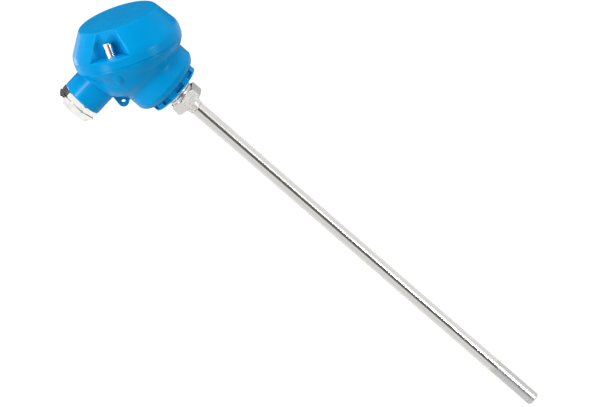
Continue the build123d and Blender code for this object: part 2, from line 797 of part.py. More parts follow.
# Sensing element: ceramic cylinder at the bottom of the sheath
with BuildPart() as sensing_element:
    with BuildSketch(Plane.XY.offset(element_bottom)):
        Circle(element_diameter / 2)
    extrude(amount=element_length)
sensing_element.part.label = "sensing_element"
export_step(sensing_element.part, "parts/sensing_element.step")

# Insulation: packed mineral core with four holes for the wires
with BuildPart() as insulation:
    with BuildSketch(Plane.XY.offset(element_top)):
        Circle(core_diameter / 2 - core_play)
        with PolarLocations(core_wire_radius, core_wires, start_angle=180 / core_wires):
            Circle(wire_diameter / 2 + core_play, mode=Mode.SUBTRACT)
    extrude(amount=bush_top - plug_height - element_top)
insulation.part.label = "insulation"
export_step(insulation.part, "parts/insulation.step")

# Sheath seal: cast resin plug around the wires in the sheath's mouth
with BuildPart() as sheath_seal:
    with BuildSketch(Plane.XY.offset(bush_top - plug_height)):
        Circle(core_diameter / 2 - core_play)
        with PolarLocations(core_wire_radius, core_wires, start_angle=180 / core_wires):
            Circle(wire_diameter / 2 + core_play, mode=Mode.SUBTRACT)
    extrude(amount=plug_height)
sheath_seal.part.label = "sheath_seal"
export_step(sheath_seal.part, "parts/sheath_seal.step")

# Lead wires: four wires that rise from the element and bend out into the terminal clamps
with BuildPart() as lead_wires:
    for wire in range(core_wires):
        angle = radians(360 * (wire + 0.5) / core_wires)
        outward = Vector(cos(angle), sin(angle), 0)
        with BuildLine(Plane(origin=(0, 0, 0), x_dir=outward, z_dir=outward.cross(Vector(0, 0, 1)))):
            Line((core_wire_radius, element_top), (core_wire_radius, wire_level - wire_bend))
            TangentArc(
                (core_wire_radius, wire_level - wire_bend),
                (core_wire_radius + wire_bend, wire_level),
                tangent=(0, 1),
            )
            Line((core_wire_radius + wire_bend, wire_level), (clamp_circle / 2 + wire_end, wire_level))
        with BuildSketch(Plane.XY.offset(element_top)):
            with Locations(outward * core_wire_radius):
                Circle(wire_diameter / 2)
        sweep()
lead_wires.part.label = "lead_wires"
export_step(lead_wires.part, "parts/lead_wires.step")

# Terminal block: ceramic disc with a wire hole, two screw notches and four clamp pockets
with BuildPart() as terminal_block:
    with BuildSketch(Plane.XY.offset(flange_top)):
        Circle(block_diameter / 2)
    extrude(amount=block_height)
    chamfer(terminal_block.edges().filter_by(GeomType.CIRCLE).sort_by(Axis.Z)[-1], block_chamfer)
    with BuildSketch(Plane.XY.offset(flange_top)):
        Circle(bush_diameter / 2 + block_hole_play)
        with GridLocations(insert_screw_pitch, 0, 2, 1):
            Circle(notch_diameter / 2)
    extrude(amount=block_height, mode=Mode.SUBTRACT)
    with BuildSketch(Plane.XY.offset(clamp_bottom)):
        with PolarLocations(clamp_circle / 2, core_wires, start_angle=180 / core_wires):
            Rectangle(clamp_length + 2 * touch, clamp_width + 2 * touch)
    extrude(amount=beyond, mode=Mode.SUBTRACT)
terminal_block.part.label = "terminal_block"
export_step(terminal_block.part, "parts/terminal_block.step")

# Terminal clamps: brass blocks with a cross hole for the wire and a tapped hole above it
with BuildPart() as terminal_clamps:
    with BuildSketch(Plane.XY.offset(clamp_bottom)):
        with PolarLocations(clamp_circle / 2, core_wires, start_angle=180 / core_wires):
            Rectangle(clamp_length, clamp_width)
    extrude(amount=clamp_height)
    with Locations((0, 0, wire_level)):
        with PolarLocations(clamp_circle / 2, core_wires, start_angle=180 / core_wires):
            Cylinder(clamp_bore / 2, 2 * clamp_length, rotation=(0, 90, 0), mode=Mode.SUBTRACT)
    with BuildSketch(Plane.XY.offset(wire_level)):
        with PolarLocations(clamp_circle / 2, core_wires, start_angle=180 / core_wires):
            Circle(terminal_screw_diameter / 2 + touch)
    extrude(amount=clamp_height, mode=Mode.SUBTRACT)
terminal_clamps.part.label = "terminal_clamps"
export_step(terminal_clamps.part, "parts/terminal_clamps.step")

# Terminal screws: slotted screws that press the wires into the clamps
with BuildPart() as terminal_screws:
    with BuildSketch(Plane.XY.offset(wire_level + wire_diameter / 2 + touch)):
        with PolarLocations(clamp_circle / 2, core_wires, start_angle=180 / core_wires):
            Circle(terminal_screw_diameter / 2)
    extrude(amount=clamp_top - wire_level - wire_diameter / 2 - touch)
    with BuildSketch(Plane.XY.offset(clamp_top)):
        with PolarLocations(clamp_circle / 2, core_wires, start_angle=180 / core_wires):
            Circle(terminal_head_diameter / 2)
    extrude(amount=terminal_head_height)
    with BuildSketch(Plane.XY.offset(clamp_top + terminal_head_height)):
        with PolarLocations(clamp_circle / 2, core_wires, start_angle=180 / core_wires):
            Rectangle(terminal_head_diameter + 2 * loose, slot_width)
    extrude(amount=-slot_depth, mode=Mode.SUBTRACT)
terminal_screws.part.label = "terminal_screws"
export_step(terminal_screws.part, "parts/terminal_screws.step")

# Insert screws: two long slotted screws that hold the flange down through the springs
with BuildPart() as insert_screws:
    with BuildSketch(Plane.XY.offset(floor_height - insert_screw_depth)):
        with GridLocations(insert_screw_pitch, 0, 2, 1):
            Circle(insert_screw_diameter / 2)
    extrude(amount=insert_head_bottom - floor_height + insert_screw_depth)
    with BuildSketch(Plane.XY.offset(insert_head_bottom)):
        with GridLocations(insert_screw_pitch, 0, 2, 1):
            Circle(insert_head_diameter / 2)
    extrude(amount=insert_head_height)
    with BuildSketch(Plane.XY.offset(insert_head_bottom + insert_head_height)):
        with GridLocations(insert_screw_pitch, 0, 2, 1):
            Rectangle(slot_width, insert_head_diameter + 2 * loose, rotation=-hex_turn)
    extrude(amount=-slot_depth, mode=Mode.SUBTRACT)
insert_screws.part.label = "insert_screws"
export_step(insert_screws.part, "parts/insert_screws.step")

# Insert springs: press the insert's tip onto the bottom of the protection tube
with BuildPart() as insert_springs:
    spring_radius = (spring_diameter - spring_wire) / 2
    spring_height = insert_head_bottom - flange_top - spring_wire - 2 * touch
    spring_foot = flange_top + spring_wire / 2 + touch
    for side in (-insert_screw_pitch / 2, insert_screw_pitch / 2):
        with BuildLine():
            Helix(spring_height / spring_turns, spring_height, spring_radius, center=(side, 0, spring_foot))
        with BuildSketch(Plane.XZ):
            with Locations((side + spring_radius, spring_foot)):
                Circle(spring_wire / 2)
        sweep(is_frenet=True)
insert_springs.part.label = "insert_springs"
export_step(insert_springs.part, "parts/insert_springs.step")

# Earth screw: slotted screw for the earth wire, on the pillar at the back of the base
with BuildPart() as earth_screw:
    with BuildSketch(Plane.XY.offset(earth_height + earth_washer_thickness)):
        with Locations((0, earth_reach)):
            Circle(earth_head_diameter / 2)
    extrude(amount=earth_head_height)
    with BuildSketch(Plane.XY.offset(earth_height - earth_screw_length)):
        with Locations((0, earth_reach)):
            Circle(earth_screw_diameter / 2)
    extrude(amount=earth_screw_length + earth_washer_thickness)
    with BuildSketch(Plane.XY.offset(earth_height + earth_washer_thickness + earth_head_height)):
        with Locations((0, earth_reach)):
            Rectangle(slot_width, earth_head_diameter + 2 * loose, rotation=hex_turn)
    extrude(amount=-slot_depth, mode=Mode.SUBTRACT)
earth_screw.part.label = "earth_screw"
export_step(earth_screw.part, "parts/earth_screw.step")

# Earth washer: brass disc that the earth screw presses onto the wire
with BuildPart() as earth_washer:
    with BuildSketch(Plane.XY.offset(earth_height)):
        with Locations((0, earth_reach)):
            Circle(earth_boss_diameter / 2)
            Circle(earth_screw_diameter / 2 + touch, mode=Mode.SUBTRACT)
    extrude(amount=earth_washer_thickness)
earth_washer.part.label = "earth_washer"
export_step(earth_washer.part, "parts/earth_washer.step")
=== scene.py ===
# %% [markdown]
# # A resistance thermometer with a blue connection head
#
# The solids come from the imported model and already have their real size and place.
# This script gives them the finishes of the real object, adds the fine detail that the
# solids leave out, such as threads and weld beads, and sets up the floor, the light
# and the camera.

import math

import bpy
from mathutils import Matrix, Vector, noise


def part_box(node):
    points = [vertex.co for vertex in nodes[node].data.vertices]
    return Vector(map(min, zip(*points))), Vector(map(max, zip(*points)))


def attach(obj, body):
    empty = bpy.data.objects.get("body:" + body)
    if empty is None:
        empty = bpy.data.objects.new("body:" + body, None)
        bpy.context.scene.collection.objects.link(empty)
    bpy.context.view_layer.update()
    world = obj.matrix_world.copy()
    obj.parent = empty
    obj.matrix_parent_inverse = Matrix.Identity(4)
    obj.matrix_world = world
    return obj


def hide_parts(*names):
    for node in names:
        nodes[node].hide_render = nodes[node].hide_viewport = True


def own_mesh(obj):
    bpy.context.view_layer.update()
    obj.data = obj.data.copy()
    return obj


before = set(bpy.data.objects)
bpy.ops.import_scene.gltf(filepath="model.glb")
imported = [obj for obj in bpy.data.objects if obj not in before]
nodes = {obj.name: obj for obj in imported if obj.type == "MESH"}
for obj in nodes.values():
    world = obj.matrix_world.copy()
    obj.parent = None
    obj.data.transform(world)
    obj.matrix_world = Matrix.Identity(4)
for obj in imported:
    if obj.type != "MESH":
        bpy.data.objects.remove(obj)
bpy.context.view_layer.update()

# %% [markdown]
# ## Colours
#
# Paint charts and colour pickers give a colour as an sRGB code, and the renderer works
# with linear light. A code that goes in unchanged comes out too pale, so one function
# turns the one into the other.


# %% From an sRGB code to linear light
def srgb(code):
    """Linear colour of an sRGB hex code."""
    channels = [int(code[i : i + 2], 16) / 255 for i in (0, 2, 4)]
    return [c / 12.92 if c <= 0.04045 else ((c + 0.055) / 1.055) ** 2.4 for c in channels] + [1.0]


print("mid grey in linear light:", round(srgb("808080")[0], 3))

# %% [markdown]
# ## Nodes
#
# A finish is a small graph of nodes. It could be wired by hand in the shader editor.
# Here one function adds a node, sets it and wires its inputs, so that each recipe below
# reads as a list of steps. Some nodes keep several sockets of the same name, one for
# each kind of value, and only the one in use is enabled.


# %% Add a node
def feed(tree, node, inputs):
    """Gives each input a value, or wires it to another node's result or to a socket."""
    for key, value in inputs.items():
        if isinstance(key, int):
            socket = node.inputs[key]
        else:
            socket = next(s for s in node.inputs if s.name == key and s.enabled)
        if isinstance(value, bpy.types.Node):
            value = next(s for s in value.outputs if s.enabled)
        if isinstance(value, bpy.types.NodeSocket):
            tree.links.new(value, socket)
        else:
            socket.default_value = value


def add_node(tree, kind, settings, inputs):
    """Adds a node to the graph with its settings, values and links."""
    node = tree.nodes.new("ShaderNode" + kind)
    for name, value in settings.items():
        setattr(node, name, value)
    feed(tree, node, inputs)
    return node


# %% [markdown]
# A new material comes with its surface shader already in its graph, wired to the
# output. Each recipe adds its patterns and wires them to that shader.


# %% Start a finish
def new_finish(name):
    """A material, its graph and its surface shader."""
    material = bpy.data.materials.new(name)
    material.use_nodes = True
    tree = material.node_tree
    return material, tree, tree.nodes["Principled BSDF"]


# %% [markdown]
# ## Patterns measured in millimetres
#
# Nearly every surface needs a fine pattern: the orange peel of sprayed enamel, the
# lines that a die leaves along a drawn tube, the rings that a lathe leaves round a
# turned face. They could be painted as images. Noise in the object's own space needs no
# unwrapping, and stretching it along one direction turns its blots into lines. The
# sizes are given in real millimetres, because a pattern of the wrong size is what makes
# a metal look like plastic.

# %% Noise with a size in millimetres
MM = 0.001
# The noise stays mostly between these two values, which recipes stretch to their range.
NOISE_RANGE = {"From Min": 0.3, "From Max": 0.7}


def grain(tree, size, detail=2.0):
    """Noise whose blots have the size (x, y, z) in millimetres."""
    place = add_node(tree, "TexCoord", {}, {})
    scale = [1 / (s * MM) for s in size]
    stretched = add_node(tree, "Mapping", {}, {"Vector": place.outputs["Object"], "Scale": scale})
    return add_node(tree, "TexNoise", {}, {"Vector": stretched, "Scale": 1.0, "Detail": detail})


def mottled(tree, pattern, shades):
    """A colour that wanders with the pattern between two shades, both sRGB codes."""
    share = add_node(tree, "MapRange", {}, {"Value": pattern, **NOISE_RANGE})
    ends = {"Factor": share, "A": srgb(shades[0]), "B": srgb(shades[1])}
    return add_node(tree, "Mix", {"data_type": "RGBA"}, ends)


print("noise runs from", NOISE_RANGE["From Min"], "to", NOISE_RANGE["From Max"])

# %% [markdown]
# ## Blue enamel on the castings
#
# The head is die-cast aluminium, sprayed with a saturated blue enamel and baked. The
# enamel could be one flat colour with a gloss, but then it looks like a toy. Sprayed
# enamel dries with a faint orange peel about a millimetre and a half across, over slow
# waves left by the casting about nine millimetres across. Both are far too shallow to
# feel, and they are what breaks up the highlights. The shade and the gloss also drift
# a little over two centimetres, as a spray gun leaves them.

# %% Blue enamel
ENAMEL_SHADES = ("0092D2", "0098DA")
PEEL_SIZE, PEEL_DEPTH = 1.6, 0.006
WAVE_SIZE, WAVE_DEPTH = 9.0, 0.05
DRIFT_SIZE = 22.0
ENAMEL_ROUGHNESS = {"To Min": 0.24, "To Max": 0.30}


def sprayed_blue_enamel():
    """Semi-gloss enamel: an even, saturated blue with soft-edged highlights."""
    material, tree, shader = new_finish("sprayed_blue_enamel_on_cast_aluminium")
    waves = grain(tree, [WAVE_SIZE] * 3, detail=1.0)
    cast = add_node(tree, "Bump", {}, {"Height": waves, "Distance": WAVE_DEPTH * MM})
    peel = {"Height": grain(tree, [PEEL_SIZE] * 3), "Distance": PEEL_DEPTH * MM, "Normal": cast}
    drift = grain(tree, [DRIFT_SIZE] * 3, detail=1.0)
    # A plain enamel mirrors with a specular level of 0.5. White surroundings would then
    # lay a haze over the blue, which the real head doesn't show, so the level is low.
    look = {
        "Base Color": mottled(tree, drift, ENAMEL_SHADES),
        "Roughness": add_node(tree, "MapRange", {}, {"Value": drift, **NOISE_RANGE, **ENAMEL_ROUGHNESS}),
        "Specular IOR Level": 0.07,
        "Specular Tint": srgb("D8F0FF"),
        "Normal": add_node(tree, "Bump", {}, peel),
    }
    feed(tree, shader, look)
    return material


enamel = sprayed_blue_enamel()
print("made:", enamel.name)

# %% [markdown]
# ## The drawn tube and its tip
#
# The tube is seamless stainless steel, drawn through a die and polished. Its fine lines
# run along it, which draws its reflections out into long straight streaks. The last
# four and a half centimetres are another section, welded on and left duller, and the
# weld's heat has left a straw tint round the tube. Both marks are placed by their
# height on the stem, so that one graph serves the whole length and needs no picture
# wrapped round it.

# %% Where the tube changes, in millimetres below its shoulder
TIP_SECTION_START, TIP_SECTION_BLEND = -322.0, 6.0
TINT_LEVEL, TINT_REACH, TINT_FULL = -325.5, 2.6, 0.2
TINT_STRENGTH = 0.5


def share_of_tip(tree, height):
    """0 on the polished tube and 1 on the duller section at its end."""
    start = TIP_SECTION_START * MM
    blend = {"Value": height, "From Min": start, "From Max": start - TIP_SECTION_BLEND * MM}
    return add_node(tree, "MapRange", {}, blend)


def share_of_heat_tint(tree, height, blots):
    """How strongly the weld's tint shows: a patchy ring that fades to both sides."""
    above = add_node(tree, "Math", {"operation": "SUBTRACT"}, {0: height, 1: TINT_LEVEL * MM})
    away = add_node(tree, "Math", {"operation": "ABSOLUTE"}, {0: above})
    ring = {"Value": away, "From Min": TINT_REACH * MM, "From Max": TINT_FULL * MM, "To Max": TINT_STRENGTH}
    patches = add_node(tree, "MapRange", {}, {"Value": blots, **NOISE_RANGE})
    band = add_node(tree, "MapRange", {}, ring)
    return add_node(tree, "Math", {"operation": "MULTIPLY"}, {0: band, 1: patches})


tube_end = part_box("tube_tip")[0].z / MM
print("duller section:", round(TIP_SECTION_START - tube_end, 1), "mm long")

# %% [markdown]
# The steel itself is a metal, so its base colour is what it mirrors with, and its IOR
# stays at the default. Clean stainless steel is a light grey with a faint warmth. The
# real draw lines are a few hundredths of a millimetre apart, far too fine for the
# picture, so they are drawn half a millimetre wide and sixty long.

# %% Drawn tube
TUBE_STEEL, TIP_STEEL, HEAT_TINT = "DAD9D5", "C4C3C3", "B79F86"
DRAW_LINE_SIZE, DRAW_LINE_DEPTH = (0.5, 0.5, 60), 0.0012
BLOT_SIZE = (4, 4, 9)
POLISHED_ROUGHNESS = {"To Min": 0.13, "To Max": 0.19}
DULL_ROUGHNESS = {"To Min": 0.26, "To Max": 0.34}


def drawn_stainless_tube():
    """Polished drawn steel: long sharp streaks, and a duller end with a tinted ring."""
    material, tree, shader = new_finish("drawn_and_polished_stainless_tube")
    place = add_node(tree, "TexCoord", {}, {})
    height = add_node(tree, "SeparateXYZ", {}, {"Vector": place.outputs["Object"]}).outputs["Z"]
    lines = grain(tree, DRAW_LINE_SIZE)
    blots = grain(tree, BLOT_SIZE)
    tip = share_of_tip(tree, height)
    bare = {"Factor": tip, "A": srgb(TUBE_STEEL), "B": srgb(TIP_STEEL)}
    steel = add_node(tree, "Mix", {"data_type": "RGBA"}, bare)
    heated = {"Factor": share_of_heat_tint(tree, height, blots), "A": steel, "B": srgb(HEAT_TINT)}
    polished = add_node(tree, "MapRange", {}, {"Value": lines, **NOISE_RANGE, **POLISHED_ROUGHNESS})
    dull = add_node(tree, "MapRange", {}, {"Value": blots, **NOISE_RANGE, **DULL_ROUGHNESS})
    look = {
        "Base Color": add_node(tree, "Mix", {"data_type": "RGBA"}, heated),
        "Metallic": 1.0,
        "Roughness": add_node(tree, "Mix", {}, {"Factor": tip, "A": polished, "B": dull}),
        "Normal": add_node(tree, "Bump", {}, {"Height": lines, "Distance": DRAW_LINE_DEPTH * MM}),
    }
    feed(tree, shader, look)
    return material


tube_steel = drawn_stainless_tube()
print("made:", tube_steel.name)

# %% [markdown]
# ## Turned, wound and welded steel
#
# The other metals differ in four things only: their shades, how fine their tool marks
# are and which way these run, how deep the marks are, and how sharply the metal mirrors.
# One recipe takes the four. A clean metal has no paint of its own, so what the eye
# reads is that sharpness: the roughness.

# %% A metal with tool marks
TOOL_UNEVENNESS = 0.05
SHADE_DRIFT_SIZE = 7


def tooled_metal(name, shades, mark_size, roughness, depth):
    """A metal whose tool marks have the size (x, y, z) and the depth in millimetres."""
    material, tree, shader = new_finish(name)
    marks = grain(tree, mark_size)
    drift = grain(tree, [SHADE_DRIFT_SIZE] * 3, detail=1.0)
    uneven = {"To Min": roughness - TOOL_UNEVENNESS, "To Max": roughness + TOOL_UNEVENNESS}
    look = {
        "Base Color": mottled(tree, drift, shades),
        "Metallic": 1.0,
        "Roughness": add_node(tree, "MapRange", {}, {"Value": marks, **NOISE_RANGE, **uneven}),
        "Normal": add_node(tree, "Bump", {}, {"Height": marks, "Distance": depth * MM}),
    }
    feed(tree, shader, look)
    return material


# %% [markdown]
# The hexagon fitting and the insert's flange are turned from bar. A lathe leaves rings
# at its feed of about a quarter of a millimetre, which show as a soft satin that runs
# round the part. The springs and pins are bright drawn wire, smooth and sharp. A weld
# bead is scaled and slightly browned, so it mirrors least.

# %% Stainless steels
turned_steel = tooled_metal("turned_stainless_bar", ("CECDCA", "D6D5D2"), (25, 25, 0.25), 0.30, 0.003)
wire_steel = tooled_metal("bright_stainless_wire", ("D6D5D1", "DEDDDA"), (2, 2, 2), 0.16, 0.001)
weld_steel = tooled_metal("welded_stainless_bead", ("A99C8C", "CFCAC2"), (0.8, 0.8, 0.5), 0.34, 0.004)
print("made:", turned_steel.name, wire_steel.name, weld_steel.name)

# %% [markdown]
# ## Plated and bare small parts
#
# The gland and the lid screw are turned brass with a bright nickel plate. Nickel is
# lighter and warmer than steel, and its turning rings run round the gland's level axis.
# The small screws inside are zinc-plated, which is cooler and slightly cloudy. The
# clamps and the earth washer are bare milled brass, with straight cutter marks, and the
# wires are drawn copper, with fine lines along them.

# %% Plated and bare metals
NICKEL_SHADES = ("E6E6E2", "EFEFEC")
nickel = tooled_metal("bright_nickel_plate_on_turned_brass", NICKEL_SHADES, (0.3, 18, 18), 0.14, 0.0012)
zinc = tooled_metal("zinc_plated_steel", ("BFC5CC", "D2D6D8"), (1.5, 1.5, 1.5), 0.34, 0.003)
milled_brass = tooled_metal("milled_brass", ("C9A64E", "DABB6A"), (12, 0.3, 0.3), 0.28, 0.003)
copper_wire = tooled_metal("drawn_copper_wire", ("C9825C", "DA9A76"), (0.3, 0.3, 8), 0.25, 0.001)
print("made:", nickel.name, zinc.name, milled_brass.name, copper_wire.name)

# %% [markdown]
# ## Seals, ceramic and resin
#
# These sit inside the head and show when the lid is open. None is a metal, and each has
# a fine grain that is the same in every direction: the mould's texture on rubber, the
# pressed powder of ceramic, the fibres of the red washer. The grain could be left out
# at this size, but without it the open head looks like one plastic toy inside another.

# %% A material with a fine grain
GRAIN_UNEVENNESS = 0.06


def fine_grained(name, shades, roughness, size, depth):
    """A moulded, pressed or cast material, its grain of the size and depth in millimetres."""
    material, tree, shader = new_finish(name)
    fine = grain(tree, [size] * 3)
    uneven = {"To Min": roughness - GRAIN_UNEVENNESS, "To Max": roughness + GRAIN_UNEVENNESS}
    look = {
        "Base Color": mottled(tree, fine, shades),
        "Roughness": add_node(tree, "MapRange", {}, {"Value": fine, **NOISE_RANGE, **uneven}),
        "Normal": add_node(tree, "Bump", {}, {"Height": fine, "Distance": depth * MM}),
    }
    feed(tree, shader, look)
    return material


# %% [markdown]
# Nitrile rubber is nearly black and matt. Vulcanised fibre, which gaskets and washers
# are punched from, is brick red and matt. Steatite, the ceramic of terminal blocks, is
# off-white and faintly waxy, and packed magnesium oxide is whiter and chalky. The resin
# plug is cast, so it is smooth and a little glossy. The real grains are a few hundredths
# of a millimetre, so they are drawn about ten times coarser to show at all.

# %% Rubber, fibre, ceramic and resin
rubber = fine_grained("moulded_black_nitrile_rubber", ("1C1C1E", "2A2A2C"), 0.62, 0.8, 0.01)
fibre = fine_grained("red_vulcanised_fibre", ("6E241B", "863A2C"), 0.7, 0.6, 0.008)
steatite = fine_grained("pressed_steatite_ceramic", ("E2DDCF", "EFEBDF"), 0.55, 0.7, 0.006)
oxide = fine_grained("packed_magnesium_oxide", ("D9D7D0", "ECEAE4"), 0.85, 0.3, 0.01)
resin = fine_grained("cast_epoxy_resin", ("2B2320", "3B302B"), 0.22, 1.5, 0.003)
print("made:", rubber.name, fibre.name, steatite.name, oxide.name, resin.name)

# %% [markdown]
# ## A finish for every solid
#
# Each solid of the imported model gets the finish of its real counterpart. The list is
# kept by finish, as a workshop would sort the parts for the paint shop and the plater.

# %% Assign the finishes
finishes = {
    enamel: ["head_base", "head_lid"],
    tube_steel: ["protection_tube", "tube_tip"],
    turned_steel: ["hex_fitting", "insert_flange", "insert_bush", "insert_sheath"],
    wire_steel: ["hinge_pin", "lid_screw_ring", "insert_springs"],
    nickel: ["lid_screw", "gland_body", "gland_nut", "gland_ring"],
    zinc: ["terminal_screws", "insert_screws", "earth_screw"],
    milled_brass: ["terminal_clamps", "earth_washer"],
    copper_wire: ["lead_wires"],
    rubber: ["lid_gasket", "neck_seal", "gland_seal"],
    fibre: ["gland_washer"],
    steatite: ["terminal_block", "sensing_element"],
    oxide: ["insulation"],
    resin: ["sheath_seal"],
}
for finish, names in finishes.items():
    for name in names:
        nodes[name].data.materials.clear()
        nodes[name].data.materials.append(finish)
print("finished solids:", sum(len(names) for names in finishes.values()), "of", len(nodes))

# %% [markdown]
# ## Pieces made here
#
# Threads, weld beads and springs are all a small outline carried along a path. They
# could be curves with a bevel. Plain points and faces give full control of the outline
# at every step, which a thread needs where it fades out.


# %% Mesh pieces
def add_piece(name, points, faces, finish, body):
    """A smooth mesh, its points in metres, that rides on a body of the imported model."""
    mesh = bpy.data.meshes.new(name)
    mesh.from_pydata(points, [], faces)
    mesh.validate()
    mesh.polygons.foreach_set("use_smooth", [True] * len(mesh.polygons))
    mesh.materials.append(finish)
    piece = bpy.data.objects.new(name, mesh)
    bpy.context.scene.collection.objects.link(piece)
    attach(piece, body)
    return piece


def swept_faces(rings, per_ring):
    """Faces between neighbouring rings of points, with both ends closed."""
    faces = []
    for ring in range(rings - 1):
        for i in range(per_ring):
            j = (i + 1) % per_ring
            a, b = ring * per_ring, (ring + 1) * per_ring
            faces.append((a + i, a + j, b + j, b + i))
    last = (rings - 1) * per_ring
    faces.append(tuple(reversed(range(per_ring))))
    faces.append(tuple(last + i for i in range(per_ring)))
    return faces


print("faces of a closed square bar:", len(swept_faces(2, 4)))

# %% [markdown]
# ## Threads
#
# The solids carry their threads as plain cylinders. Where a thread can be seen, a ridge
# is wound round the cylinder: a triangle with a blunt crest, carried along a helix. A
# cut thread runs out gradually where the die stops, so the ridge grows and shrinks over
# a part of a turn at its ends. Its foot reaches a little into the cylinder, so that no
# gap shows.

# %% Wind a thread
THREAD_DEPTH_SHARE = 0.36
ROOT_HALF_WIDTH, CREST_HALF_WIDTH = 0.46, 0.08
RUN_OUT_TURNS = 0.4
ROOT_SUNK = 0.05
THREAD_STEPS = 72


def thread_points(radius, pitch, start, end):
    """Points of a helical ridge round the Z axis, in millimetres, and its faces."""
    steps = THREAD_STEPS
    count = int((end - start) / pitch * steps)
    points = []
    for step in range(count + 1):
        angle = 2 * math.pi * step / steps
        level = start + pitch * step / steps
        grown = min(1.0, step / (RUN_OUT_TURNS * steps), (count - step) / (RUN_OUT_TURNS * steps))
        crest = radius + THREAD_DEPTH_SHARE * pitch * grown
        root = radius - ROOT_SUNK
        corners = (
            (root, -ROOT_HALF_WIDTH),
            (crest, -CREST_HALF_WIDTH),
            (crest, CREST_HALF_WIDTH),
            (root, ROOT_HALF_WIDTH),
        )
        for r, along in corners:
            points.append(Vector((r * math.cos(angle), r * math.sin(angle), level + along * pitch)))
    return points, swept_faces(count + 1, len(corners))


# %% [markdown]
# The fitting screws into the head's collar, and two turns of its thread show between
# the two. It is a common fine thread of 24 mm with a pitch of 1.5 mm.

# %% Thread of the hexagon fitting
NECK_THREAD_RADIUS, NECK_THREAD_PITCH = 12.0, 1.5
NECK_THREAD_START, NECK_THREAD_END = 18.8, 21.9

points, faces = thread_points(NECK_THREAD_RADIUS, NECK_THREAD_PITCH, NECK_THREAD_START, NECK_THREAD_END)
neck_thread = add_piece("neck_thread", [p * MM for p in points], faces, turned_steel, "head")
print("neck thread:", len(faces), "faces")

# %% [markdown]
# The lid screw has a finer thread below its clip. It shows when the lid is open. The
# lid's plane is tilted and is highest above the gland. The screw stands square to that
# plane, at the front and a little round towards the high side, so the ridge is wound
# upright and then leaned over with it.

# %% Thread of the lid screw
LID_TILT = math.radians(28.5)
RECESS_TURN = math.radians(21.0)
RIM_MIDDLE = Vector((-1.0, 0, 71.8))
SCREW_OFFSET = 36.0
SCREW_THREAD_RADIUS, SCREW_THREAD_PITCH = 2.4, 0.8
SCREW_THREAD_START, SCREW_THREAD_END = -5.1, -1.8

lid_normal = Vector((math.sin(LID_TILT), 0, math.cos(LID_TILT)))
uphill = Vector((-math.cos(LID_TILT), 0, math.sin(LID_TILT)))
screw_side = uphill * math.sin(RECESS_TURN) - Vector((0, 1, 0)) * math.cos(RECESS_TURN)
screw_foot = RIM_MIDDLE + screw_side * SCREW_OFFSET
leaned = Matrix((screw_side, lid_normal.cross(screw_side), lid_normal)).transposed()
points, faces = thread_points(SCREW_THREAD_RADIUS, SCREW_THREAD_PITCH, SCREW_THREAD_START, SCREW_THREAD_END)
points = [(screw_foot + leaned @ p) * MM for p in points]
lid_screw_thread = add_piece("lid_screw_thread", points, faces, nickel, "lid_screw")
print("lid screw thread:", len(faces), "faces")

# %% [markdown]
# ## Weld beads
#
# The tube is welded to the fitting's shoulder and to its tip. A fine weld made under
# gas leaves a bead of overlapping ripples, each about a millimetre from the last, with
# some unevenness from the welder's hand. The bead is an arc of points turned round the
# stem, which swells and shrinks with both.

# %% Weld beads
WELD_STEPS, BEAD_POINTS = 360, 7
WELD_RIPPLES, RIPPLE_SHARE = 34, 0.10
HAND_TURNS, HAND_SHARE = 5, 0.16


def bead_swelling(angle, level):
    """How large the bead is at an angle round the tube, about 1."""
    hand = noise.noise((HAND_TURNS * math.cos(angle), HAND_TURNS * math.sin(angle), level))
    return 1 + RIPPLE_SHARE * math.cos(angle * WELD_RIPPLES) + HAND_SHARE * hand


def weld_ring(name, level, inner, outer, rise, body):
    """A ring of weld metal at a level of the tube, between two radii, in millimetres."""
    points, faces = [], []
    for step in range(WELD_STEPS):
        angle = 2 * math.pi * step / WELD_STEPS
        size = bead_swelling(angle, level)
        for i in range(BEAD_POINTS):
            turn = math.pi * i / (BEAD_POINTS - 1)
            r = inner + (outer - inner) * math.sin(turn) * size
            z = level - rise * math.cos(turn) * size
            points.append(Vector((r * math.cos(angle), r * math.sin(angle), z)) * MM)
        a, b = step * BEAD_POINTS, (step + 1) % WELD_STEPS * BEAD_POINTS
        for i in range(BEAD_POINTS):
            j = (i + 1) % BEAD_POINTS
            faces.append((a + i, b + i, b + j, a + j))
    return add_piece(name, points, faces, weld_steel, body)


tip_weld = weld_ring("tip_weld", level=-364.0, inner=5.42, outer=5.56, rise=0.9, body="head")
shoulder_weld = weld_ring("shoulder_weld", level=-0.2, inner=5.42, outer=5.95, rise=0.7, body="head")
print("weld beads:", tip_weld.name, shoulder_weld.name)

# %% [markdown]
# ## Springs that press the insert down
#
# Two coil springs sit round the insert's long screws and keep its tip on the bottom of
# the tube. Each is wound from hard bright wire: here a small circle of points is
# carried along a helix, square to the wire's own direction.

# %% Coil of a spring
SPRING_WIRE = 0.8
SPRING_TURNS = 7
COIL_STEPS, WIRE_POINTS = 36, 10


def spring_points(radius, low, high):
    """Points of a coiled wire round the Z axis between two levels, in millimetres, and its faces."""
    pitch = (high - low - SPRING_WIRE) / SPRING_TURNS
    rise = math.atan2(pitch, 2 * math.pi * radius)
    rings = SPRING_TURNS * COIL_STEPS + 1
    points = []
    for step in range(rings):
        angle = 2 * math.pi * step / COIL_STEPS
        out = Vector((math.cos(angle), math.sin(angle), 0))
        over = Vector((math.sin(angle) * math.sin(rise), -math.cos(angle) * math.sin(rise), math.cos(rise)))
        middle = out * radius + Vector((0, 0, low + SPRING_WIRE / 2 + pitch * step / COIL_STEPS))
        for i in range(WIRE_POINTS):
            turn = 2 * math.pi * i / WIRE_POINTS
            points.append(middle + (out * math.cos(turn) + over * math.sin(turn)) * SPRING_WIRE / 2)
    return points, swept_faces(rings, WIRE_POINTS)


